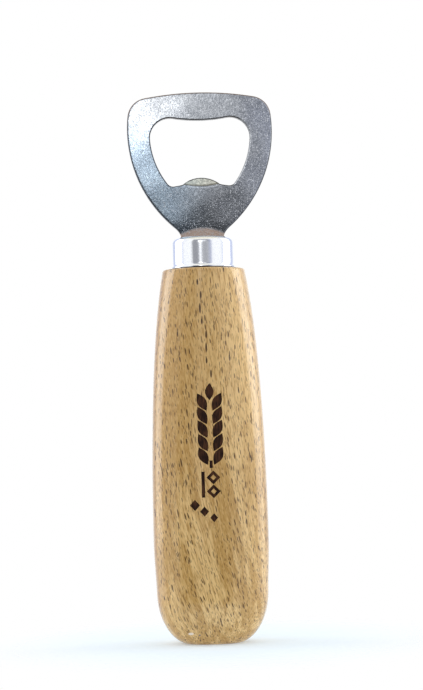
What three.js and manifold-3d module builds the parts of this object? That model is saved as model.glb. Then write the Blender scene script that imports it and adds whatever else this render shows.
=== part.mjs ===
// A bottle opener with a beech handle, standing on the handle's flat end.
// Millimetres, +Z up, origin at the middle of the base, the front of the head facing -Y.
//
// A stamped steel head carries on downwards as a barbed tang. The tang passes through the slot of
// a drawn aluminium ferrule, which caps the handle's turned tenon, and is glued into a blind bore.

import * as THREE from 'three';
import Module from 'manifold-3d';
import { mergeVertices } from 'three/addons/utils/BufferGeometryUtils.js';

// Fit between neighbouring pieces
const GAP = 0.3;

// Handle: round under the ferrule, a flattened oval further down
const HANDLE_LENGTH = 101;
const BODY_HALF_WIDTH = 15.6;
const BODY_FLATNESS = 0.7;
const BASE_HALF_WIDTH = 6.8;
const BASE_ROUNDING = 14;
const BASE_CURVE_REACH = 3.2;
const LOW_HALF_WIDTH = 15.1;
const LOW_CURVE_INSET = 0.1;
const WIDEST_HEIGHT = 28;
const BELLY_CURVE_HEIGHT = 55;
const TAPER_HALF_WIDTH = 14.4;
const TAPER_CURVE_HEIGHT = 84;
const SHOULDER_RADIUS = 11.2;
const SHOULDER_ROUNDING = 0.8;
const ROUNDING_START = 45;
const ROUNDING_POWER = 2.5;
const BORE_RADIUS = 4;
const BORE_BOTTOM = HANDLE_LENGTH - 37;

// Ferrule: a cup turned over the tenon
const FERRULE_TOP = HANDLE_LENGTH + 8.6;
const FERRULE_BOTTOM_RADIUS = 8.4;
const FERRULE_TOP_RADIUS = 8.25;
const FERRULE_CORNER = 1.5;
const FERRULE_WALL = 0.7;

// Head: a plate whose outline is three tangent arcs on each side
const PLATE = 2.2;
const PLATE_BEVEL = 0.4;
const HEAD_BASE = FERRULE_TOP - 0.1;
const HEAD_TOP = HEAD_BASE + 39.5;
const CROWN_RADIUS = 90;
const CORNER_RADIUS = 5.6;
const CORNER_X = 13.9;
const FLARE_RADIUS = 35;
const FLARE_HALF_WIDTH = 19.7;
const FLARE_START = -50;
const NECK_HALF_WIDTH = 5.6;

// Cap opening: straight below, two lobes above with a shallow saddle between them
const OPENING_BOTTOM = HEAD_TOP - 25.5;
const OPENING_TOP = HEAD_TOP - 7.6;
const SADDLE_RADIUS = 40;
const LOBE_RADIUS = 5.4;
const SIDE_CENTRE = new THREE.Vector2(-9.4, HEAD_TOP - 11.1);
const SIDE_RADIUS = 23;
const OPENING_CORNER = 1.9;

// Tooth: a tongue of the same plate, bent back under the cap's rim
const TOOTH_BEND_HEIGHT = OPENING_BOTTOM - 0.4;
const TOOTH_HALF_WIDTH = 5.8;
const TOOTH_LENGTH = 3.4;
const TOOTH_ANGLE = THREE.MathUtils.degToRad(35);

// Tang
const TANG_TOP = FERRULE_TOP - 3;
const TANG_BOTTOM = BORE_BOTTOM + 2.5;
const TANG_HALF_WIDTH = 2.8;
const TANG_POINT_HALF_WIDTH = 0.9;
const TANG_POINT_LENGTH = 6;
const BARB_COUNT = 5;
const BARB_DEPTH = 0.6;

const ARC_STEPS = 7;
const ROUND_STEPS = 48;
const { Vector2 } = THREE;

const wasm = await Module();
wasm.setup();

// A closed geometry as a solid that can be cut and joined
function solid(geometry) {
  const bare = geometry.clone();
  bare.deleteAttribute('normal');
  bare.deleteAttribute('uv');
  const merged = mergeVertices(bare, 1e-4);
  return new wasm.Manifold(new wasm.Mesh({
    numProp: 3,
    vertProperties: new Float32Array(merged.attributes.position.array),
    triVerts: new Uint32Array(merged.index.array),
  }));
}

function geometryOf(body) {
  const mesh = body.getMesh();
  const geometry = new THREE.BufferGeometry();
  geometry.setAttribute('position', new THREE.BufferAttribute(mesh.vertProperties, 3));
  geometry.setIndex(new THREE.BufferAttribute(mesh.triVerts, 1));
  geometry.computeVertexNormals();
  return geometry;
}

// A profile of (radius, height) points turned about the Z axis
function turned(points) {
  return new THREE.LatheGeometry(points, ROUND_STEPS).rotateX(Math.PI / 2);
}

function upright(radius, bottom, top) {
  const geometry = new THREE.CylinderGeometry(radius, radius, top - bottom, ROUND_STEPS);
  return geometry.rotateX(Math.PI / 2).translate(0, 0, (bottom + top) / 2);
}

function block(width, depth, bottom, top) {
  return new THREE.BoxGeometry(width, depth, top - bottom).translate(0, 0, (bottom + top) / 2);
}

// An outline in X and Z made into a plate lying across Y = 0
function plate(shape, thickness, bevel) {
  const geometry = new THREE.ExtrudeGeometry(shape, {
    depth: thickness - 2 * bevel,
    curveSegments: ARC_STEPS,
    bevelEnabled: bevel > 0,
    bevelThickness: bevel,
    bevelSize: bevel,
    bevelOffset: -bevel,
    bevelSegments: 2,
  });
  return geometry.translate(0, 0, bevel - thickness / 2).rotateX(Math.PI / 2);
}

// The right half of an outline, from the bottom up to x = 0, closed with its mirror image
function mirrored(rightHalf) {
  const points = rightHalf.getPoints(ARC_STEPS);
  const left = points.slice(0, -1).reverse().map((point) => new Vector2(-point.x, point.y));
  return [...points, ...left];
}

const angleFrom = (centre, point) => Math.atan2(point.y - centre.y, point.x - centre.x);

// Where two circles cross, on the right of the line from the first centre to the second
function crossing(first, firstRadius, second, secondRadius) {
  const distance = first.distanceTo(second);
  const along = (distance ** 2 + firstRadius ** 2 - secondRadius ** 2) / (2 * distance);
  const across = Math.sqrt(firstRadius ** 2 - along ** 2);
  const direction = second.clone().sub(first).normalize();
  const sideways = new Vector2(direction.y, -direction.x);
  return first.clone().addScaledVector(direction, along).addScaledVector(sideways, across);
}

// How deep the handle is for its width: constant low down, round at the shoulder
function flatness(height) {
  const rise = Math.max(0, (height - ROUNDING_START) / (HANDLE_LENGTH - ROUNDING_START));
  return BODY_FLATNESS + (1 - BODY_FLATNESS) * rise ** ROUNDING_POWER;
}

function handleGeometry() {
  const side = new THREE.Path();
  side.moveTo(0, 0);
  side.lineTo(BASE_HALF_WIDTH, 0);
  side.bezierCurveTo(
    BASE_HALF_WIDTH + BASE_CURVE_REACH, 0,
    LOW_HALF_WIDTH - LOW_CURVE_INSET, BASE_ROUNDING / 3,
    LOW_HALF_WIDTH, BASE_ROUNDING);
  side.lineTo(BODY_HALF_WIDTH, WIDEST_HEIGHT);
  side.bezierCurveTo(
    BODY_HALF_WIDTH, BELLY_CURVE_HEIGHT,
    TAPER_HALF_WIDTH, TAPER_CURVE_HEIGHT,
    SHOULDER_RADIUS, HANDLE_LENGTH - SHOULDER_ROUNDING);
  side.quadraticCurveTo(
    SHOULDER_RADIUS, HANDLE_LENGTH, SHOULDER_RADIUS - SHOULDER_ROUNDING, HANDLE_LENGTH);
  side.lineTo(0, HANDLE_LENGTH);
  const body = turned(side.getPoints(12));
  const position = body.attributes.position;
  for (let index = 0; index < position.count; index += 1) {
    position.setY(index, position.getY(index) * flatness(position.getZ(index)));
  }
  const tenonRadius = FERRULE_TOP_RADIUS - FERRULE_WALL - GAP;
  const tenon = upright(tenonRadius, HANDLE_LENGTH - 2, TANG_TOP - GAP);
  const bore = upright(BORE_RADIUS, BORE_BOTTOM, TANG_TOP + 1);
  return geometryOf(solid(body).add(solid(tenon)).subtract(solid(bore)));
}

function ferruleGeometry() {
  const bottom = HANDLE_LENGTH + GAP;
  const inside = FERRULE_TOP_RADIUS - FERRULE_WALL;
  const cup = new THREE.Path();
  cup.moveTo(0, FERRULE_TOP - FERRULE_WALL);
  cup.lineTo(inside, FERRULE_TOP - FERRULE_WALL);
  cup.lineTo(FERRULE_BOTTOM_RADIUS - FERRULE_WALL, bottom);
  cup.lineTo(FERRULE_BOTTOM_RADIUS, bottom);
  cup.lineTo(FERRULE_TOP_RADIUS, FERRULE_TOP - FERRULE_CORNER);
  cup.absarc(
    FERRULE_TOP_RADIUS - FERRULE_CORNER, FERRULE_TOP - FERRULE_CORNER,
    FERRULE_CORNER, 0, Math.PI / 2, false);
  cup.lineTo(0, FERRULE_TOP);
  const slot = block(2 * (NECK_HALF_WIDTH + GAP), PLATE + 2 * GAP, FERRULE_TOP - 2, FERRULE_TOP + 1);
  return geometryOf(solid(turned(cup.getPoints(4))).subtract(solid(slot)));
}

// The tang's right edge: a point, then barbs that slope outwards as they rise and step back in
function tangEdge(path) {
  const barbsBottom = TANG_BOTTOM + TANG_POINT_LENGTH;
  const barbsTop = TANG_TOP - 8;
  const pitch = (barbsTop - barbsBottom) / BARB_COUNT;
  path.moveTo(TANG_POINT_HALF_WIDTH, TANG_BOTTOM);
  path.lineTo(TANG_HALF_WIDTH - BARB_DEPTH, barbsBottom);
  for (let barb = 1; barb <= BARB_COUNT; barb += 1) {
    path.lineTo(TANG_HALF_WIDTH, barbsBottom + barb * pitch);
    path.lineTo(TANG_HALF_WIDTH - BARB_DEPTH, barbsBottom + barb * pitch);
  }
  path.lineTo(TANG_HALF_WIDTH - BARB_DEPTH, TANG_TOP);
}

function headOutline() {
  const crown = new Vector2(0, HEAD_TOP - CROWN_RADIUS);
  const cornerRise = Math.sqrt((CROWN_RADIUS - CORNER_RADIUS) ** 2 - CORNER_X ** 2);
  const corner = new Vector2(CORNER_X, crown.y + cornerRise);
  const flareX = FLARE_HALF_WIDTH - FLARE_RADIUS;
  const flareDrop = Math.sqrt((FLARE_RADIUS - CORNER_RADIUS) ** 2 - (CORNER_X - flareX) ** 2);
  const flare = new Vector2(flareX, corner.y - flareDrop);
  const flareStart = THREE.MathUtils.degToRad(FLARE_START);
  const toCorner = angleFrom(flare, corner);
  const toCrown = angleFrom(crown, corner);

  const edge = new THREE.Path();
  tangEdge(edge);
  edge.lineTo(NECK_HALF_WIDTH, TANG_TOP);
  edge.lineTo(NECK_HALF_WIDTH, HEAD_BASE + 0.5);
  edge.absarc(flare.x, flare.y, FLARE_RADIUS, flareStart, toCorner, false);
  edge.absarc(corner.x, corner.y, CORNER_RADIUS, toCorner, toCrown, false);
  edge.absarc(crown.x, crown.y, CROWN_RADIUS, toCrown, Math.PI / 2, false);
  return new THREE.Shape(mirrored(edge));
}

function openingOutline() {
  const saddle = new Vector2(0, OPENING_TOP + SADDLE_RADIUS);
  const lobe = crossing(
    SIDE_CENTRE, SIDE_RADIUS - LOBE_RADIUS, saddle, SADDLE_RADIUS + LOBE_RADIUS);
  const cornerY = OPENING_BOTTOM + OPENING_CORNER;
  const reach = Math.sqrt((SIDE_RADIUS - OPENING_CORNER) ** 2 - (cornerY - SIDE_CENTRE.y) ** 2);
  const corner = new Vector2(SIDE_CENTRE.x + reach, cornerY);
  const toCorner = angleFrom(SIDE_CENTRE, corner);
  const toLobe = angleFrom(SIDE_CENTRE, lobe);

  const edge = new THREE.Path();
  edge.moveTo(corner.x, OPENING_BOTTOM);
  edge.absarc(corner.x, corner.y, OPENING_CORNER, -Math.PI / 2, toCorner, false);
  edge.absarc(SIDE_CENTRE.x, SIDE_CENTRE.y, SIDE_RADIUS, toCorner, toLobe, false);
  edge.absarc(lobe.x, lobe.y, LOBE_RADIUS, toLobe, angleFrom(lobe, saddle), false);
  edge.absarc(saddle.x, saddle.y, SADDLE_RADIUS, angleFrom(saddle, lobe), -Math.PI / 2, true);
  return new THREE.Path(mirrored(edge));
}

// The tongue in its own plane, hinged at the plate's front face and turned back
function toothGeometry() {
  const radius = (TOOTH_HALF_WIDTH ** 2 + TOOTH_LENGTH ** 2) / (2 * TOOTH_LENGTH);
  const start = Math.asin((radius - TOOTH_LENGTH) / radius);
  const tongue = new THREE.Shape();
  tongue.moveTo(-TOOTH_HALF_WIDTH, 0);
  tongue.absarc(0, TOOTH_LENGTH - radius, radius, start, Math.PI - start, false);
  const geometry = plate(tongue, PLATE, 0);
  geometry.translate(0, PLATE / 2, 0);
  geometry.rotateX(-TOOTH_ANGLE);
  return geometry.translate(0, -PLATE / 2, TOOTH_BEND_HEIGHT);
}

function headGeometry() {
  const shape = headOutline();
  shape.holes.push(openingOutline());
  return geometryOf(solid(plate(shape, PLATE, PLATE_BEVEL)).add(solid(toothGeometry())));
}

// Cured glue that fills the bore around the tang
function glueGeometry() {
  const top = TANG_TOP - 2 * GAP;
  const fill = upright(BORE_RADIUS - GAP, BORE_BOTTOM + GAP, top);
  const tangSpace = block(
    2 * (TANG_HALF_WIDTH + GAP / 2), PLATE + GAP, TANG_BOTTOM - GAP, top + 1);
  return geometryOf(solid(fill).subtract(solid(tangSpace)));
}

function piece(name, geometry, color, roughness, metalness) {
  const material = new THREE.MeshStandardMaterial({ color, roughness, metalness });
  const mesh = new THREE.Mesh(geometry, material);
  mesh.name = name;
  return mesh;
}

const opener = new THREE.Group();
opener.add(piece('handle', handleGeometry(), 0xc8a271, 0.45, 0));
opener.add(piece('ferrule', ferruleGeometry(), 0xdfe1e6, 0.25, 1));
opener.add(piece('opener_head', headGeometry(), 0xb4b7bb, 0.3, 1));
opener.add(piece('tang_glue', glueGeometry(), 0xd9c48c, 0.4, 0));

export default opener;
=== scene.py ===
# A bottle opener with a beech handle, standing on a pale table in a white tent.
# Each section below makes one of its pieces, from the handle up to the steel head.
# Sizes are in millimetres unless a name says otherwise, and meshes are scaled to metres.
import math

import bpy
from mathutils import Matrix, Vector
from mathutils.geometry import interpolate_bezier


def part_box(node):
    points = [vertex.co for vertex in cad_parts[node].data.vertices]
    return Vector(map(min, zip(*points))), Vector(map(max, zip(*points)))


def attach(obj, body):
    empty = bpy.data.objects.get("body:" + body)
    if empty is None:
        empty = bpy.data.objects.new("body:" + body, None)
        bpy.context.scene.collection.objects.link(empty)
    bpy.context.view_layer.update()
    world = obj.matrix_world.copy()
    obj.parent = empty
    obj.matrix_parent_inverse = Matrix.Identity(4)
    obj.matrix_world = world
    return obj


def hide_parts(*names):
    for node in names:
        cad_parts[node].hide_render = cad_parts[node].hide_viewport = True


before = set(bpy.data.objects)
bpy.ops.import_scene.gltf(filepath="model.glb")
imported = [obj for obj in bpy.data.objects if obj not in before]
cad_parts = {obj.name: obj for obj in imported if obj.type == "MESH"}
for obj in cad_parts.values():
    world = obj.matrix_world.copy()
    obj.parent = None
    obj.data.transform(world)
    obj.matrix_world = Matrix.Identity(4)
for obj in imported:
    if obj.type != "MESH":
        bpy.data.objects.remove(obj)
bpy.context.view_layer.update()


# ---- The view ----
# A long lens a little below the ferrule, slightly left of the opener's middle.
# The opener leans to the left in the frame, so the camera is rolled to match.
frame_height = 0.187
view_distance = 0.60
view_height = 0.064
view_side = math.radians(-3)
opener_lean = math.radians(1.65)
aim = Vector((0.0016, 0, 0.0804))

camera = bpy.data.objects.new("camera", bpy.data.cameras.new("camera"))
bpy.context.scene.collection.objects.link(camera)
bpy.context.scene.camera = camera
camera.data.sensor_fit = "VERTICAL"
camera.data.sensor_height = 36
camera.data.lens = 36 * view_distance / frame_height
camera.location = (
    view_distance * math.sin(view_side), -view_distance * math.cos(view_side), view_height)
towards = (aim - camera.location).to_track_quat("-Z", "Y").to_matrix().to_4x4()
camera.matrix_world = (
    Matrix.Translation(camera.location) @ towards @ Matrix.Rotation(-opener_lean, 4, "Z"))
bpy.context.scene.view_settings.view_transform = "Standard"


# ---- The white tent ----
# Light comes from the whole tent. It is open at the front, where bright metal shows the room:
# darkest low down, with a window to the right. Soft lamps stand round the lens, and a tall strip
# lamp on each side.
def feed(tree, value, socket):
    if isinstance(value, bpy.types.NodeSocket):
        tree.links.new(value, socket)
    else:
        socket.default_value = value


def reckon(tree, operation, *values):
    node = tree.nodes.new("ShaderNodeMath")
    node.operation = operation
    for value, socket in zip(values, node.inputs):
        feed(tree, value, socket)
    return node.outputs[0]


def total(tree, first, *others):
    for other in others:
        first = reckon(tree, "ADD", first, other)
    return first


def product(tree, first, *others):
    for other in others:
        first = reckon(tree, "MULTIPLY", first, other)
    return first


def ramp(tree, value, low, high):
    """0 below low and 1 above high, with a smooth rise between them"""
    node = tree.nodes.new("ShaderNodeMapRange")
    node.interpolation_type = "SMOOTHSTEP"
    for given, socket in zip((value, low, high), node.inputs):
        feed(tree, given, socket)
    return node.outputs[0]


def window(tree, value, low, high, soft_low, soft_high):
    """1 between low and high, 0 outside, with soft edges"""
    rising = ramp(tree, value, low - soft_low, low + soft_low)
    falling = reckon(tree, "SUBTRACT", 1.0, ramp(tree, value, high - soft_high, high + soft_high))
    return product(tree, rising, falling)


def tint(tree, share, first, second):
    """The first colour turning into the second as share goes from 0 to 1"""
    node = tree.nodes.new("ShaderNodeMix")
    node.data_type = "RGBA"
    feed(tree, share, node.inputs[0])
    for colour, socket in ((first, node.inputs[6]), (second, node.inputs[7])):
        feed(tree, (*colour, 1) if isinstance(colour, tuple) else colour, socket)
    return node.outputs[2]


tent = bpy.data.worlds.new("tent")
bpy.context.scene.world = tent
tent.use_nodes = True
air = tent.node_tree
air.nodes.clear()
split = air.nodes.new("ShaderNodeSeparateXYZ")
air.links.new(air.nodes.new("ShaderNodeTexCoord").outputs["Generated"], split.inputs[0])
across, inward, up = split.outputs
# turn is the bearing in degrees, 0 towards the camera and positive to the right
turn = reckon(air, "DEGREES", reckon(air, "ARCTAN2", across, product(air, inward, -1.0)))
rise = reckon(air, "DEGREES", reckon(air, "ARCSINE", up))
# the strips and the seams stand a little to the left, as the camera does
aside = reckon(air, "ABSOLUTE", reckon(air, "ADD", turn, 5.0))

white_cloth = (1.02, 1.04, 1.06)
far_cloth = (0.62, 0.68, 0.88)
dark_room = (0.06, 0.063, 0.07)
room_wall = (0.34, 0.35, 0.38)
room_window = (0.50, 0.54, 0.70)
tent_roof = (0.90, 0.87, 0.74)

light = tint(air, ramp(air, rise, 45, 70), white_cloth, tent_roof)
far_side = product(air, window(air, aside, 126, 152, 3, 8), window(air, rise, -25, 45, 6, 8))
light = tint(air, far_side, light, far_cloth)
seams = product(air, window(air, aside, 77, 87, 4, 2), window(air, rise, -25, 45, 6, 8), 0.6)
light = tint(air, seams, light, far_cloth)
front = product(air, window(air, turn, -44, 30, 5, 6), window(air, rise, -34, 46, 4, 8))
room = tint(air, ramp(air, rise, -4, 2), dark_room, room_wall)
room = tint(air, ramp(air, turn, 12, 32), room, room_window)
light = tint(air, front, light, room)


def lamp(turn_middle, turn_spread, rise_middle, rise_spread, strength):
    """A round lamp, even in its middle, that fades out round its spread"""
    sideways = reckon(air, "DIVIDE", reckon(air, "SUBTRACT", turn, turn_middle), turn_spread)
    upwards = reckon(air, "DIVIDE", reckon(air, "SUBTRACT", rise, rise_middle), rise_spread)
    distance = total(air, reckon(air, "POWER", sideways, 2.0), reckon(air, "POWER", upwards, 2.0))
    fall = product(air, reckon(air, "POWER", distance, 1.4), -1.0)
    return product(air, reckon(air, "EXPONENT", fall), strength)


strips = product(
    air, window(air, aside, 88, 120, 1.5, 9), window(air, rise, -4, 34, 10, 10), 2.8)
extra = total(
    air,
    lamp(-12.5, 6.5, 16, 11, 2.8),
    lamp(2, 9, 20, 11, 0.62),
    lamp(2, 8.5, 0.6, 2.2, 0.3),
    lamp(16, 8, 4.5, 4.5, 0.13),
    lamp(-6.5, 5.5, -2, 5, 0.42),
    strips)
lit = air.nodes.new("ShaderNodeBackground")
feed(air, light, lit.inputs["Color"])
glow = air.nodes.new("ShaderNodeBackground")
feed(air, (0.97, 0.985, 1.0, 1), glow.inputs["Color"])
feed(air, extra, glow.inputs["Strength"])
both = air.nodes.new("ShaderNodeAddShader")
air.links.new(lit.outputs[0], both.inputs[0])
air.links.new(glow.outputs[0], both.inputs[1])
plain = air.nodes.new("ShaderNodeBackground")
plain.inputs["Color"].default_value = (1, 1, 1, 1)
seen = air.nodes.new("ShaderNodeMixShader")
air.links.new(air.nodes.new("ShaderNodeLightPath").outputs["Is Camera Ray"], seen.inputs[0])
air.links.new(both.outputs[0], seen.inputs[1])
air.links.new(plain.outputs[0], seen.inputs[2])
out = air.nodes.new("ShaderNodeOutputWorld")
air.links.new(seen.outputs[0], out.inputs[0])


# ---- The table ----
# A pale sheet, lit from below as well, that fades into the white tent around the opener.
table_clear, table_fade = 0.022, 0.075
disc = bpy.data.meshes.new("table")
rim = [(table_fade * math.cos(step * math.tau / 96), table_fade * math.sin(step * math.tau / 96), 0)
       for step in range(96)]
disc.from_pydata(rim, [], [list(range(96))])
table = bpy.data.objects.new("table", disc)
bpy.context.scene.collection.objects.link(table)
sheet = bpy.data.materials.new("pale sheet")
sheet.use_nodes = True
ground = sheet.node_tree
ground.nodes.clear()
reach = ground.nodes.new("ShaderNodeVectorMath")
reach.operation = "LENGTH"
ground.links.new(ground.nodes.new("ShaderNodeTexCoord").outputs["Object"], reach.inputs[0])
matt = ground.nodes.new("ShaderNodeBsdfDiffuse")
matt.inputs["Color"].default_value = (0.655, 0.74, 0.81, 1)
under = ground.nodes.new("ShaderNodeEmission")
under.inputs["Color"].default_value = (0.92, 0.96, 1.0, 1)
under.inputs["Strength"].default_value = 0.275
surface = ground.nodes.new("ShaderNodeAddShader")
ground.links.new(matt.outputs[0], surface.inputs[0])
ground.links.new(under.outputs[0], surface.inputs[1])
fade = ground.nodes.new("ShaderNodeMixShader")
feed(ground, ramp(ground, reach.outputs["Value"], table_clear, table_fade - 0.002), fade.inputs[0])
ground.links.new(surface.outputs[0], fade.inputs[1])
ground.links.new(ground.nodes.new("ShaderNodeBsdfTransparent").outputs[0], fade.inputs[2])
ground_out = ground.nodes.new("ShaderNodeOutputMaterial")
ground.links.new(fade.outputs[0], ground_out.inputs[0])
disc.materials.append(sheet)


# ---- Handle ----
# One piece of beech, turned round under the ferrule and flattened to an oval further down, with a
# tenon for the ferrule and a blind bore for the tang. It is sanded, branded with a hot iron that
# leaves an ear of barley sunk in the wood, and given a clear lacquer.
mm = 0.001


def placed(name, points, faces):
    """A new object from points in millimetres"""
    mesh = bpy.data.meshes.new(name)
    mesh.from_pydata([Vector(point) * mm for point in points], [], faces)
    mesh.validate()
    piece = bpy.data.objects.new(name, mesh)
    bpy.context.scene.collection.objects.link(piece)
    return piece


def skin(name, rings, start=None, end=None):
    """Rings of points joined by quads. With start and end the skin closes on those two middle
    points, and without them the last ring joins the first."""
    count = len(rings[0])
    points = [point for ring in rings for point in ring]
    faces = []
    spans = len(rings) if start is None else len(rings) - 1
    for row in range(spans):
        here, there = row * count, (row + 1) % len(rings) * count
        for step in range(count):
            after = (step + 1) % count
            faces.append((here + step, here + after, there + after, there + step))
    if start is not None:
        first, last = len(points), len(points) + 1
        points += [start, end]
        top = (len(rings) - 1) * count
        for step in range(count):
            after = (step + 1) % count
            faces.append((first, after, step))
            faces.append((last, top + step, top + after))
    return placed(name, points, faces)


def prisms(name, outlines, front, back):
    """Outlines of X and Z points, each carried from one depth to another, as one object"""
    points, faces = [], []
    for outline in outlines:
        first, count = len(points), len(outline)
        points += [(x, front, z) for x, z in outline]
        points += [(x, back, z) for x, z in outline]
        faces.append([first + step for step in range(count)])
        faces.append([first + count + step for step in reversed(range(count))])
        for step in range(count):
            after = (step + 1) % count
            faces.append((first + step, first + step + count, first + after + count, first + after))
    return placed(name, points, faces)


def fitted(piece, tool, operation):
    """The piece after the tool is cut from it or joined to it"""
    step = piece.modifiers.new("fit", "BOOLEAN")
    step.operation = operation
    step.solver = "EXACT"
    step.material_mode = "TRANSFER" if tool.data.materials else "INDEX"
    step.object = tool
    evaluated = piece.evaluated_get(bpy.context.evaluated_depsgraph_get())
    result = bpy.data.meshes.new_from_object(evaluated)
    piece.modifiers.clear()
    piece.data = result
    bpy.data.objects.remove(tool)


def smooth(piece, painted_bend_shade=35):
    piece.data.shade_smooth()
    piece.data.set_sharp_from_angle(angle=math.radians(painted_bend_shade))


def curve(start, pull_start, pull_end, end, steps):
    """Points along a curve that leaves start towards pull_start and arrives from pull_end"""
    corners = [Vector((*corner, 0)) for corner in (start, pull_start, pull_end, end)]
    return [(point.x, point.y) for point in interpolate_bezier(*corners, steps + 1)]


wood_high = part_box("handle")[1] / mm
cup_low, cup_high = (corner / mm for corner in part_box("ferrule"))
joint_gap = 0.3
shoulder = cup_low.z - joint_gap
half_width = wood_high.x
shoulder_radius = 11.2
tenon_radius = 7.2
tenon_top = wood_high.z
bore_radius = 4.0
bore_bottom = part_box("tang_glue")[0].z / mm - joint_gap
base_half_width = 6.8
low_half_width, low_height = 15.1, 14.0
widest_height = 28.0
oval_depth = 0.70
oval_up_to, full_up_to = 45, 55
round_sides = 160


def handle_depth(height):
    """Depth over width: an oval low down that turns round towards the shoulder"""
    climb = max(0.0, (height - oval_up_to) / (shoulder - oval_up_to))
    return oval_depth + (1 - oval_depth) * climb ** 2.5


def handle_squareness(height):
    """The oval's sides are a little fuller than an ellipse's, except under the ferrule"""
    climb = min(1.0, max(0.0, (height - full_up_to) / (shoulder - full_up_to)))
    return 2.35 - 0.35 * climb


def oval(width, height, depth, power):
    ring = []
    for step in range(round_sides):
        angle = step * math.tau / round_sides
        along, over = math.cos(angle), math.sin(angle)
        ring.append((
            math.copysign(abs(along) ** (2 / power), along) * width,
            math.copysign(abs(over) ** (2 / power), over) * width * depth,
            height))
    return ring


def wood_ring(width, height):
    return oval(width, height, handle_depth(height), handle_squareness(height))


side_line = curve((base_half_width, 0.0), (10.0, 0.0), (15.0, 4.7), (low_half_width, low_height), 26)
side_line += curve((low_half_width, low_height), (15.2, 19.0), (half_width, 22.0),
                   (half_width, widest_height), 10)[1:]
side_line += curve((half_width, widest_height), (half_width, 55.0), (14.4, 84.0),
                   (shoulder_radius, shoulder - 0.8), 70)[1:]
side_line += curve((shoulder_radius, shoulder - 0.8), (shoulder_radius, shoulder - 0.3),
                   (shoulder_radius - 0.3, shoulder), (shoulder_radius - 0.9, shoulder), 6)[1:]
floor_of_base = [(share * base_half_width, 0.0) for share in (0.25, 0.5, 0.75)]
rings = [wood_ring(width, height) for width, height in floor_of_base + side_line]
round_stretch = [
    (tenon_radius, shoulder), (tenon_radius, tenon_top - 0.4), (tenon_radius - 0.4, tenon_top),
    (bore_radius, tenon_top), (bore_radius, bore_bottom), (0.5, bore_bottom)]
rings += [oval(width, height, 1.0, 2.0) for width, height in round_stretch]
handle = skin("beech_handle", rings, start=(0, 0, 0), end=(0, 0, bore_bottom))


def finish_of(name):
    material = bpy.data.materials.new(name)
    material.use_nodes = True
    return material, material.node_tree, material.node_tree.nodes["Principled BSDF"]


def in_millimetres(tree):
    """The place on the opener, in its three parts"""
    scaled = tree.nodes.new("ShaderNodeVectorMath")
    scaled.operation = "SCALE"
    scaled.inputs["Scale"].default_value = 1 / mm
    tree.links.new(tree.nodes.new("ShaderNodeTexCoord").outputs["Object"], scaled.inputs[0])
    parts = tree.nodes.new("ShaderNodeSeparateXYZ")
    tree.links.new(scaled.outputs[0], parts.inputs[0])
    return parts.outputs


def joined(tree, x, y, z):
    node = tree.nodes.new("ShaderNodeCombineXYZ")
    for value, socket in zip((x, y, z), node.inputs):
        feed(tree, value, socket)
    return node.outputs[0]


def mottled(tree, x, y, z, wide, tall, detail=2.0):
    """Noise from 0 to 1 whose spots are so wide, across and inward, and so tall"""
    node = tree.nodes.new("ShaderNodeTexNoise")
    place = joined(tree, *(reckon(tree, "DIVIDE", value, size)
                           for value, size in ((x, wide), (y, wide), (z, tall))))
    tree.links.new(place, node.inputs["Vector"])
    node.inputs["Scale"].default_value = 1.0
    node.inputs["Detail"].default_value = detail
    return node.outputs["Fac"]


def flecks(tree, x, y, z, cell, half, share, seed):
    """Small lenses, one at most to a cell. cell and half are sizes across, inward and along,
    and share is how many cells hold one."""
    node = tree.nodes.new("ShaderNodeTexVoronoi")
    shifted = [reckon(tree, "ADD", reckon(tree, "DIVIDE", value, size), float(seed))
               for value, size in zip((x, y, z), cell)]
    tree.links.new(joined(tree, *shifted), node.inputs["Vector"])
    node.inputs["Scale"].default_value = 1.0
    middle = tree.nodes.new("ShaderNodeSeparateXYZ")
    tree.links.new(node.outputs["Position"], middle.inputs[0])
    chance = tree.nodes.new("ShaderNodeSeparateColor")
    tree.links.new(node.outputs["Color"], chance.inputs[0])
    squares = []
    for value, centre, cell_size, half_size in zip(shifted, middle.outputs, cell, half):
        offset = product(tree, reckon(tree, "SUBTRACT", value, centre), cell_size / half_size)
        squares.append(product(tree, offset, offset))
    far = reckon(tree, "SQRT", total(tree, *squares))
    size = total(tree, product(tree, chance.outputs[1], 0.7), 0.5)
    inside = reckon(tree, "SUBTRACT", 1.0, ramp(tree, reckon(tree, "DIVIDE", far, size), 0.8, 1.1))
    there = reckon(tree, "LESS_THAN", chance.outputs[0], share)
    strength = total(tree, product(tree, chance.outputs[2], 0.4), 0.6)
    return product(tree, inside, there, strength)


def spot(tree, x, z, middle_x, middle_z, half_wide, half_tall):
    """1 inside an oval and 0 outside it"""
    squares = []
    for value, centre, half_size in ((x, middle_x, half_wide), (z, middle_z, half_tall)):
        offset = reckon(tree, "DIVIDE", reckon(tree, "SUBTRACT", value, centre), half_size)
        squares.append(product(tree, offset, offset))
    return reckon(tree, "SUBTRACT", 1.0, ramp(tree, total(tree, *squares), 0.5, 1.2))


beech, tree, shader = finish_of("lacquered beech")
x, y, z = in_millimetres(tree)
# the fibres lean a little to the right on their way down, and more towards the base
lean_starts = 66.0
below = reckon(tree, "MAXIMUM", reckon(tree, "SUBTRACT", lean_starts, z), 0.0)
drift = total(tree, product(tree, reckon(tree, "SUBTRACT", shoulder, z), 0.09),
              product(tree, below, below, 0.0019))
waver = product(tree, mottled(tree, x, y, z, 6.0, 14.0, 1.0), 1.6)
fibre = total(tree, reckon(tree, "SUBTRACT", x, drift), waver)

# where in the plank this handle was cut from, which sets where its growth rings fall
cut_from = 31.0
board = total(tree, fibre, cut_from)
broad = mottled(tree, board, y, z, 4.5, 60.0, 1.0)
growth = mottled(tree, board, y, z, 1.5, 34.0, 2.0)
streaks = mottled(tree, fibre, y, z, 0.30, 3.0, 2.0)
mottle = mottled(tree, fibre, y, z, 0.40, 1.4, 1.0)

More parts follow.
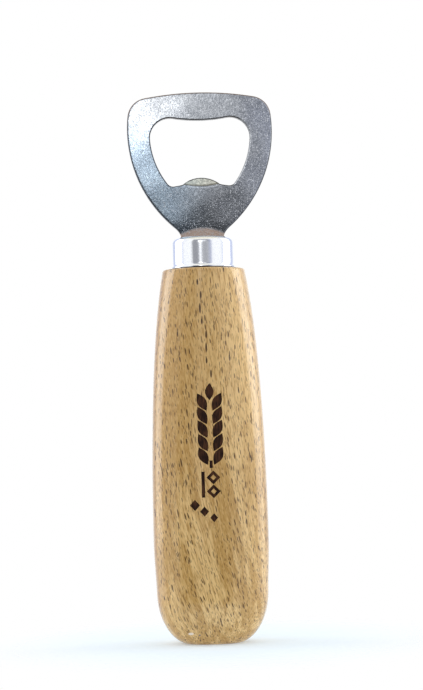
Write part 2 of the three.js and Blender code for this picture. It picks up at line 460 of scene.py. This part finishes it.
pale_beech = (0.86, 0.585, 0.255)
mid_beech = (0.58, 0.345, 0.11)
deep_beech = (0.42, 0.22, 0.055)
pore_brown = (0.045, 0.015, 0.004)

# the growth rings show as broad stripes low down and fade out under the ferrule
rings_mix = total(tree, product(tree, broad, 0.55), product(tree, growth, 0.45))
stripes = reckon(tree, "SUBTRACT", ramp(tree, rings_mix, 0.43, 0.56), 0.38)
contrast = total(tree, 0.12, product(tree, ramp(tree, z, 75, 40), 0.88))
# painted shade: the upper wood is darkened towards the left and lightened towards the right
left_of_middle = reckon(tree, "MAXIMUM", product(tree, x, -1.0), 0.0)
painted_side_shade = total(tree, product(tree, x, -0.034), product(tree, left_of_middle, 0.055))
band = total(tree, 0.35, product(tree, stripes, contrast),
             product(tree, painted_side_shade, ramp(tree, z, 28, 60)))
colour = tint(tree, band, pale_beech, mid_beech)
colour = tint(tree, product(tree, ramp(tree, streaks, 0.42, 0.66), 0.75), colour, deep_beech)
colour = tint(tree, product(tree, ramp(tree, mottle, 0.46, 0.72), 0.34), colour, pale_beech)

pores = flecks(tree, fibre, y, z, (0.84, 0.84, 2.2), (0.16, 0.24, 0.85), 0.9, 3)
fine_pores = flecks(tree, fibre, y, z, (0.52, 0.52, 1.4), (0.11, 0.14, 0.55), 0.9, 11)
large_pores = flecks(tree, fibre, y, z, (1.9, 1.9, 4.2), (0.2, 0.3, 1.15), 0.7, 29)
marks = reckon(tree, "MAXIMUM", pores, product(tree, fine_pores, 0.7))
marks = reckon(tree, "MAXIMUM", marks, large_pores)
# a wandering line of larger open pores comes down from the shoulder
in_front = reckon(tree, "LESS_THAN", y, 0.0)
pore_count = 8
for count in range(pore_count):
    crack_x = -2.3 + 0.38 * count + 0.45 * math.sin(1.9 * count)
    crack_z = shoulder - 4.0 - 3.5 * count
    crack = spot(tree, x, z, crack_x, crack_z, 0.26, 0.85 + 0.3 * (count % 3))
    marks = reckon(tree, "MAXIMUM", marks, product(tree, crack, in_front))
colour = tint(tree, product(tree, marks, 0.95), colour, pore_brown)
# painted shadow: the wood is darkened just under the ferrule's lip, where the lip shades it
from_middle = reckon(tree, "SQRT", total(tree, product(tree, x, x), product(tree, y, y)))
painted_lip_shadow = product(tree, ramp(tree, z, shoulder - 0.12, shoulder - 0.02), 0.9,
               ramp(tree, from_middle, cup_high.x + 0.6, cup_high.x + 0.1))
colour = tint(tree, painted_lip_shadow, colour, (0.05, 0.02, 0.014))
# a chipped fleck of bare wood and a pencil dot near the base
chip = product(tree, spot(tree, x, z, -6.5, 3.3, 0.75, 0.38), in_front)
dot = product(tree, spot(tree, x, z, -4.2, 2.9, 0.3, 0.25), in_front)
colour = tint(tree, product(tree, chip, 0.9), colour, (0.92, 0.80, 0.68))
colour = tint(tree, product(tree, dot, 0.8), colour, (0.10, 0.11, 0.16))
feed(tree, colour, shader.inputs["Base Color"])
feed(tree, total(tree, 0.34, product(tree, marks, 0.3)), shader.inputs["Roughness"])
shader.inputs["Specular IOR Level"].default_value = 0.1
shader.inputs["Coat Weight"].default_value = 1.0
shader.inputs["Coat Roughness"].default_value = 0.12
relief = tree.nodes.new("ShaderNodeBump")
relief.inputs["Strength"].default_value = 0.4
relief.inputs["Distance"].default_value = 0.00012
depth = reckon(tree, "SUBTRACT", product(tree, streaks, 0.6), total(tree, marks, chip))
feed(tree, depth, relief.inputs["Height"])
tree.links.new(relief.outputs[0], shader.inputs["Normal"])
handle.data.materials.append(beech)

charred, tree, shader = finish_of("charred beech")
x, y, z = in_millimetres(tree)
fibre_marks = mottled(tree, x, y, z, 0.3, 2.6, 2.0)
patches = mottled(tree, x, y, z, 2.2, 3.0, 1.0)
scorch = total(tree, product(tree, fibre_marks, 0.6), product(tree, patches, 0.4))
colour = tint(tree, ramp(tree, scorch, 0.40, 0.68), (0.016, 0.0055, 0.003), (0.095, 0.036, 0.015))
feed(tree, colour, shader.inputs["Base Color"])
shader.inputs["Roughness"].default_value = 0.7
shader.inputs["Specular IOR Level"].default_value = 0.15
relief = tree.nodes.new("ShaderNodeBump")
relief.inputs["Strength"].default_value = 0.5
relief.inputs["Distance"].default_value = 0.0001
feed(tree, fibre_marks, relief.inputs["Height"])
tree.links.new(relief.outputs[0], shader.inputs["Normal"])


def pointed(middle_x, middle_z, lean, length, width):
    """A grain or leaf shape with two points, leaning to the right by lean degrees"""
    outline = []
    for side in (1, -1):
        for step in range(12):
            share = step / 12
            along = side * length * (share - 0.5)
            outline.append((side * width / 2 * math.sin(math.pi * share), along))
    across, upward = math.cos(math.radians(lean)), math.sin(math.radians(lean))
    return [(middle_x + a * across + b * upward, middle_z - a * upward + b * across)
            for a, b in outline]


def diamond(middle_x, middle_z, half_wide, half_tall):
    return [(middle_x - half_wide, middle_z), (middle_x, middle_z - half_tall),
            (middle_x + half_wide, middle_z), (middle_x, middle_z + half_tall)]


def oblong(left, bottom, right, top):
    return [(left, bottom), (right, bottom), (right, top), (left, top)]


brand_depth = 0.15
brand_front, brand_back = -20.0, -4.0
branded_from, branded_to = 20, 85
ear_bottom, grain_step = 50.6, 3.6
brand = [oblong(-0.42, 47.4, 0.42, 49.4)]
for row in range(5):
    for side in (-1, 1):
        brand.append(pointed(side * 2.0, ear_bottom + row * grain_step, side * 27, 5.3, 2.5))
brand.append(pointed(0.06, ear_bottom + 4.75 * grain_step, 1.0, 4.6, 2.3))
brand.append(oblong(-2.7, 39.6, -1.8, 46.5))
for row in range(3):
    brand.append(diamond(-4.6 + 2.5 * row, 37.6 - 1.7 * row, 1.35 - 0.15 * row, 1.5 - 0.15 * row))
hot_iron = prisms("hot_iron", brand, brand_front, brand_back)
open_x, open_heights = 0.5, (44.9, 41.2)
outer_half, inner_half = 1.85, 0.75
outer = [diamond(open_x, height, outer_half, outer_half) for height in open_heights]
inner = [diamond(open_x, height, inner_half, inner_half) for height in open_heights]
open_diamonds = prisms("open_diamonds", outer, brand_front, brand_back)
fitted(open_diamonds, prisms("middles", inner, brand_front - 1, brand_back + 1), "DIFFERENCE")
fitted(hot_iron, open_diamonds, "UNION")
under_brand = [wood_ring(width - brand_depth, height) for width, height in side_line
               if branded_from < height < branded_to]
uncut = skin("uncut_wood", under_brand,
             start=(0, 0, under_brand[0][0][2]), end=(0, 0, under_brand[-1][0][2]))
fitted(hot_iron, uncut, "DIFFERENCE")
hot_iron.data.materials.clear()
hot_iron.data.materials.append(charred)
fitted(handle, hot_iron, "DIFFERENCE")
smooth(handle)
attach(handle, "root")
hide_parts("handle")


# ---- Ferrule ----
# A cup drawn from bright aluminium sheet, with a slot punched through its closed top for the neck.
# It is pressed over the tenon, and its flared lip sits against the wood's shoulder.
def arc(centre, radius, first, last, steps):
    """Points round a centre, from one angle to another in degrees"""
    points = []
    for step in range(steps + 1):
        angle = math.radians(first + (last - first) * step / steps)
        points.append((centre[0] + radius * math.cos(angle), centre[1] + radius * math.sin(angle)))
    return points


cup_top = cup_high.z
cup_radius = cup_high.x
cup_side_radius = cup_radius - 0.12
cup_wall = 0.7
cup_corner = 1.6
flare_top = cup_low.z + 1.0
cup_side = [(cup_radius - 0.1, cup_low.z), (cup_radius + 0.16, cup_low.z + 0.10)]
cup_side += curve((cup_radius + 0.18, cup_low.z + 0.28), (cup_radius + 0.10, cup_low.z + 0.5),
                  (cup_side_radius + 0.02, flare_top - 0.3), (cup_side_radius, flare_top), 8)
cup_side += [(cup_side_radius, flare_top + 0.3), (cup_side_radius, cup_top - cup_corner - 0.3)]
cup_side += arc((cup_side_radius - cup_corner, cup_top - cup_corner), cup_corner, 0, 90, 12)
cup_side += [(share * (cup_side_radius - cup_corner), cup_top) for share in (0.8, 0.6, 0.4, 0.2)]
cup_inside = [(cup_side_radius - cup_wall - share, cup_top - cup_wall) for share in (4.0, 2.0, 0.0)]
cup_inside += [(cup_radius - cup_wall, cup_low.z)]
ferrule = skin("aluminium_ferrule",
               [oval(width, height, 1.0, 2.0) for width, height in cup_inside + cup_side],
               start=(0, 0, cup_top - cup_wall), end=(0, 0, cup_top))
slot_half_width, slot_half_depth = 5.9, 1.4
slot = oblong(-slot_half_width, cup_top - 2, slot_half_width, cup_top + 1)
fitted(ferrule, prisms("slot", [slot], -slot_half_depth, slot_half_depth), "DIFFERENCE")

bright, tree, shader = finish_of("bright aluminium")
x, y, z = in_millimetres(tree)
draw_lines = mottled(tree, x, y, z, 0.11, 4.0, 2.0)
haze = mottled(tree, x, y, z, 0.32, 0.5, 2.0)
colour = tint(tree, ramp(tree, haze, 0.35, 0.7), (0.97, 0.975, 0.985), (0.87, 0.88, 0.91))
feed(tree, colour, shader.inputs["Base Color"])
shader.inputs["Metallic"].default_value = 1.0
feed(tree, total(tree, 0.08, product(tree, draw_lines, 0.07)), shader.inputs["Roughness"])
relief = tree.nodes.new("ShaderNodeBump")
relief.inputs["Strength"].default_value = 0.16
relief.inputs["Distance"].default_value = 0.00003
feed(tree, total(tree, draw_lines, product(tree, haze, 0.6)), relief.inputs["Height"])
tree.links.new(relief.outputs[0], shader.inputs["Normal"])
ferrule.data.materials.append(bright)
smooth(ferrule)
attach(ferrule, "root")
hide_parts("ferrule")


# ---- Opener head ----
# One stamping of 2.2 mm steel: a gently domed plate with the cap opening, a tooth bent back from
# the opening's lower edge, a neck and a barbed tang. It is tumbled, which rounds its edges a
# little and leaves it sparkling with small scratches, and then plated.
head_low, head_high = (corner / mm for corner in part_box("opener_head"))
head_top = head_high.z
head_half_width = head_high.x
neck_bottom = cup_top - 3.0
neck_half_width = 5.6
plate = 2.2
crown_radius, corner_radius, flare_radius = 90.0, 5.6, 35.0
corner_x = 13.9
crown_centre = (0.0, head_top - crown_radius)
corner_rise = math.sqrt((crown_radius - corner_radius) ** 2 - corner_x ** 2)
corner_centre = (corner_x, crown_centre[1] + corner_rise)
flare_x = head_half_width - flare_radius
flare_drop = math.sqrt((flare_radius - corner_radius) ** 2 - (corner_x - flare_x) ** 2)
flare_centre = (flare_x, corner_centre[1] - flare_drop)


def bearing(centre, point):
    return math.degrees(math.atan2(point[1] - centre[1], point[0] - centre[0]))


flare_to_corner = bearing(flare_centre, corner_centre)
crown_to_corner = bearing(crown_centre, corner_centre)
flare_start = -50.0
flare_foot = arc(flare_centre, flare_radius, flare_start, flare_start, 1)[0]
outline = [(neck_half_width * step / 14, neck_bottom) for step in range(14)]
outline += curve((neck_half_width, neck_bottom), (neck_half_width, cup_top),
                 (neck_half_width - 0.05, cup_top + 0.9), flare_foot, 14)[:-1]
outline += arc(flare_centre, flare_radius, flare_start, flare_to_corner, 44)[:-1]
outline += arc(corner_centre, corner_radius, flare_to_corner, crown_to_corner, 24)[:-1]
outline += arc(crown_centre, crown_radius, crown_to_corner, 90, 20)

opening_bottom = head_top - 25.5
opening_top = head_top - 7.6
saddle_radius, lobe_radius, side_radius, heel_radius = 40.0, 5.4, 23.0, 1.9
side_centre = (-9.4, head_top - 11.1)
saddle_centre = (0.0, opening_top + saddle_radius)
apart = math.dist(side_centre, saddle_centre)
to_lobe, from_saddle = side_radius - lobe_radius, saddle_radius + lobe_radius
along = (apart ** 2 + to_lobe ** 2 - from_saddle ** 2) / (2 * apart)
away = math.sqrt(to_lobe ** 2 - along ** 2)
ahead = ((saddle_centre[0] - side_centre[0]) / apart, (saddle_centre[1] - side_centre[1]) / apart)
lobe_centre = (side_centre[0] + ahead[0] * along + ahead[1] * away,
               side_centre[1] + ahead[1] * along - ahead[0] * away)
heel_height = opening_bottom + heel_radius
heel_reach = math.sqrt((side_radius - heel_radius) ** 2 - (heel_height - side_centre[1]) ** 2)
heel_centre = (side_centre[0] + heel_reach, heel_height)
side_to_heel = bearing(side_centre, heel_centre)
side_to_lobe = bearing(side_centre, lobe_centre)
heel_start = -100.0
heel_foot = arc(heel_centre, heel_radius, heel_start, heel_start, 1)[0]

tooth_tip = head_top - 23.1
tooth_half_width = 5.0
tooth_rise = 1.95
tooth_radius = (tooth_half_width ** 2 + tooth_rise ** 2) / (2 * tooth_rise)
tooth_centre = (0.0, tooth_tip - tooth_radius)
tooth_foot = (tooth_half_width, tooth_tip - tooth_rise)
opening = arc(tooth_centre, tooth_radius, 90, bearing(tooth_centre, tooth_foot), 14)[:-1]
opening += curve(tooth_foot, (tooth_foot[0] + 0.9, tooth_foot[1] - 0.25),
                 (heel_foot[0] - 0.9, heel_foot[1] + 0.15), heel_foot, 6)[:-1]
opening += arc(heel_centre, heel_radius, heel_start, side_to_heel, 8)[:-1]
opening += arc(side_centre, side_radius, side_to_heel, side_to_lobe, 44)[:-1]
opening += arc(lobe_centre, lobe_radius, side_to_lobe, bearing(lobe_centre, saddle_centre), 24)[:-1]
opening += arc(saddle_centre, saddle_radius, bearing(saddle_centre, lobe_centre), -90, 20)


def mirrored(right_half):
    """A closed line from its right half, which starts and ends in the middle"""
    return right_half + [(-x, z) for x, z in reversed(right_half[1:-1])]


def outward(line, step):
    """The direction square to a closed line, away from its left-hand side"""
    before, after = Vector(line[step - 1]), Vector(line[(step + 1) % len(line)])
    run = (after - before).normalized()
    return Vector((run.y, -run.x))


tooth_slope = math.tan(math.radians(35))
neck_slope = math.tan(math.radians(2))
neck_bend = cup_top + 3.6


def bend_height(x):
    """The tooth's bend is a shallow smile across the foot of the tongue"""
    sag = 0.6
    return tooth_tip - tooth_rise - sag + sag * (x / tooth_half_width) ** 2


def past_bend(distance, softness):
    """Distance past a bend, with a soft start"""
    return 0.5 * (distance + math.sqrt(distance ** 2 + softness ** 2))


dome_middle = head_top - 18
dome_across, dome_upward = 300, 400


def domed(x, z):
    """How far the domed and slightly rippled plate lies behind its own highest point"""
    dome = x ** 2 / dome_across + (z - dome_middle) ** 2 / dome_upward
    ripple = 0.030 * math.sin(0.50 * x + 0.30 * z) + 0.026 * math.sin(0.46 * z - 0.36 * x)
    return dome + ripple + past_bend(neck_bend - z, 0.5) * neck_slope


neck_shift = domed(0, cup_top)


def set_back(x, z):
    """How far a point of the plate lies behind the neck's middle, which stays in the slot"""
    return domed(x, z) - neck_shift


def tongue(x, z):
    """The tooth's own shift towards the back"""
    if abs(x) > tooth_half_width + 0.4 or z > tooth_tip + 1:
        return 0.0
    return past_bend(z - bend_height(x), 0.10) * tooth_slope


front_edge, back_edge, edge_steps, face_steps = 0.34, 0.34, 5, 30


def rounded(point, away, radius, side):
    """A quarter round from the face to the side wall: place in the plate's plane and depth"""
    quarter = []
    for step in range(edge_steps + 1):
        angle = math.radians(90 * step / edge_steps)
        inset = radius * (1 - math.sin(angle))
        quarter.append((point - away * inset, side * (plate / 2 - radius * (1 - math.cos(angle)))))
    return quarter


def across_face(first, last, steps):
    """Points over a face, closer together near the opening, where the tooth is"""
    stretch = []
    for step in range(steps + 1):
        share = (step / steps) ** 1.6
        stretch.append((first[0].lerp(last[0], share), first[1]))
    return stretch


outline = mirrored(outline)
opening = mirrored(opening)
sections, edge_band_and_shade = [], []
for step in range(len(outline)):
    rim_point, rim_away = Vector(outline[step]), outward(outline, step)
    hole_point, hole_away = Vector(opening[step]), -outward(opening, step)
    rim_front = rounded(rim_point, rim_away, front_edge, -1)
    rim_back = rounded(rim_point, rim_away, back_edge, 1)
    hole_front = rounded(hole_point, hole_away, front_edge, -1)
    hole_back = rounded(hole_point, hole_away, back_edge, 1)
    front_face = across_face(hole_front[0], rim_front[0], face_steps)
    back_face = across_face(hole_back[0], rim_back[0], face_steps)
    section = front_face + rim_front[1:] + rim_back[:0:-1] + back_face[::-1]
    section += hole_back[1:] + hole_front[:0:-1]
    sections.append([
        (point.x, depth + set_back(point.x, point.y) + tongue(point.x, point.y), point.y)
        for point, depth in section])
    # the rounded edges are marked for a dark colour, partly the stamping's sheared band and partly
    # painted shade; the opening's right-hand inner edge is left out and stays bright
    inside_edge = 0.0 if hole_away.x < -0.5 else 1.0
    edge_band_and_shade += [0.0] * (face_steps + 1) + [1.0] * 2 * edge_steps
    edge_band_and_shade += [0.0] * (face_steps + 1) + [1.0] * (edge_steps + 3) + [inside_edge] * (edge_steps - 3)
head = skin("steel_head", sections)
attribute = head.data.attributes.new("sheared_edge_and_shade", "FLOAT", "POINT")
attribute.data.foreach_set("value", edge_band_and_shade)

tang_bottom = head_low.z
tang_half, tang_half_depth, barb, tang_point = 2.8, 0.9, 0.6, 6.0
barbs = 5
pitch = (neck_bottom - 8 - tang_bottom - tang_point) / barbs
tang = [(0.9, tang_bottom), (tang_half - barb, tang_bottom + tang_point)]
for count in range(1, barbs + 1):
    height = tang_bottom + tang_point + count * pitch
    tang += [(tang_half, height), (tang_half - barb, height)]
tang += [(tang_half - barb, neck_bottom + 1.5)]
tang += [(-x, z) for x, z in reversed(tang)]
fitted(head, prisms("tang", [tang], -tang_half_depth, tang_half_depth), "UNION")

def multiplied(tree, first, second):
    """Two colours multiplied"""
    node = tree.nodes.new("ShaderNodeVectorMath")
    node.operation = "MULTIPLY"
    feed(tree, first, node.inputs[0])
    feed(tree, second, node.inputs[1])
    return node.outputs[0]


plated, tree, shader = finish_of("tumbled plated steel")
x, y, z = in_millimetres(tree)
edge_and_shade_share = tree.nodes.new("ShaderNodeAttribute")
edge_and_shade_share.attribute_name = "sheared_edge_and_shade"
edge_and_shade_share = edge_and_shade_share.outputs["Fac"]
tumble = mottled(tree, x, y, z, 0.36, 0.36, 2.0)
cloud = mottled(tree, x, y, z, 3.2, 3.2, 2.0)
fine = mottled(tree, x, y, z, 0.17, 0.17, 1.0)
dents = flecks(tree, x, y, z, (0.56, 0.8, 0.56), (0.11, 0.6, 0.11), 0.5, 5)
slanted = total(tree, x, product(tree, z, 0.7))
nicks = flecks(tree, slanted, y, z, (1.4, 2.0, 1.6), (0.06, 0.9, 0.5), 0.5, 9)
upright = flecks(tree, x, y, z, (1.5, 2.0, 2.1), (0.055, 0.9, 0.6), 0.45, 21)
scratches = reckon(tree, "MAXIMUM", dents, reckon(tree, "MAXIMUM", nicks, upright))
grains = mottled(tree, x, y, z, 0.62, 0.62, 2.0)
colour = tint(tree, ramp(tree, tumble, 0.36, 0.64), (0.43, 0.45, 0.47), (0.73, 0.745, 0.76))
colour = tint(tree, product(tree, ramp(tree, grains, 0.57, 0.68), 0.9), colour, (0.92, 0.94, 0.96))
colour = tint(tree, product(tree, ramp(tree, cloud, 0.62, 0.38), 0.4), colour, multiplied(
    tree, colour, (0.68, 0.69, 0.72)))
# painted reflection: the plating is tinted bluer low down on the left, standing in for the bluish
# tent it reflects there
painted_blue_reflection = product(tree, ramp(tree, x, 5, -11), ramp(tree, z, head_top - 5, head_top - 18), 0.8)
colour = tint(tree, painted_blue_reflection, colour, multiplied(tree, colour, (0.84, 1.04, 1.20)))
colour = tint(tree, product(tree, scratches, 0.8), colour, (0.90, 0.91, 0.92))
# painted shade: a dark line is painted along the tooth's bend, just above the crease
sideways = reckon(tree, "DIVIDE", x, tooth_half_width)
above_bend = reckon(tree, "SUBTRACT", z, total(
    tree, bend_height(0), product(tree, sideways, sideways, bend_height(1) - bend_height(0),
                                  tooth_half_width ** 2)))
painted_bend_shade = product(tree, window(tree, above_bend, 0.05, 0.5, 0.08, 0.25),
                 window(tree, x, -tooth_half_width, tooth_half_width, 0.3, 0.3))
colour = tint(tree, product(tree, painted_bend_shade, 0.7), colour, (0.10, 0.085, 0.05))
# the edge colour is near black, partly the sheared band and partly painted shade, and turns brown
# near the crown
at_crown = ramp(tree, z, head_top - 8, head_top - 3)
sheared_and_shaded_edge = tint(tree, at_crown, (0.022, 0.022, 0.026), (0.17, 0.11, 0.08))
colour = tint(tree, product(tree, edge_and_shade_share, 0.92), colour, sheared_and_shaded_edge)
# painted reflection: the foot of the neck is painted a pinkish brown and made less metallic and
# rougher, standing in for the table's reflection there
reflection_height = 2.7
reflection_top = reckon(tree, "SUBTRACT", cup_top + reflection_height, product(tree, x, x, 0.045))
painted_table_reflection = reckon(tree, "SUBTRACT", 1.0, ramp(
    tree, reckon(tree, "SUBTRACT", z, reflection_top), -0.7, 0.35))
reflection_share = total(tree, 0.97, product(tree, ramp(tree, tumble, 0.42, 0.66), -0.4))
colour = tint(tree, product(tree, painted_table_reflection, reflection_share), colour, (0.52, 0.375, 0.295))
feed(tree, colour, shader.inputs["Base Color"])
feed(tree, reckon(tree, "SUBTRACT", 1.0, product(tree, painted_table_reflection, 0.85)), shader.inputs["Metallic"])
roughness = total(tree, 0.13, product(tree, fine, 0.08), product(tree, scratches, 0.35),
                  product(tree, painted_table_reflection, 0.2))
feed(tree, roughness, shader.inputs["Roughness"])
relief = tree.nodes.new("ShaderNodeBump")
relief.inputs["Strength"].default_value = 0.4
relief.inputs["Distance"].default_value = 0.00005
height = total(tree, tumble, product(tree, fine, 0.4), product(tree, scratches, -0.6))
feed(tree, height, relief.inputs["Height"])
tree.links.new(relief.outputs[0], shader.inputs["Normal"])
head.data.materials.append(plated)
smooth(head)
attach(head, "root")
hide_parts("opener_head")


# ---- Glue in the bore ----
# Amber glue that has set hard round the tang. It is hidden in the handle, so the plain solid stays.
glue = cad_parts["tang_glue"]
amber, tree, shader = finish_of("set glue")
x, y, z = in_millimetres(tree)
bubbles = mottled(tree, x, y, z, 0.8, 0.8, 3.0)
colour = tint(tree, ramp(tree, bubbles, 0.3, 0.7), (0.62, 0.45, 0.18), (0.74, 0.60, 0.32))
feed(tree, colour, shader.inputs["Base Color"])
shader.inputs["Roughness"].default_value = 0.35
glue.data.materials.clear()
glue.data.materials.append(amber)
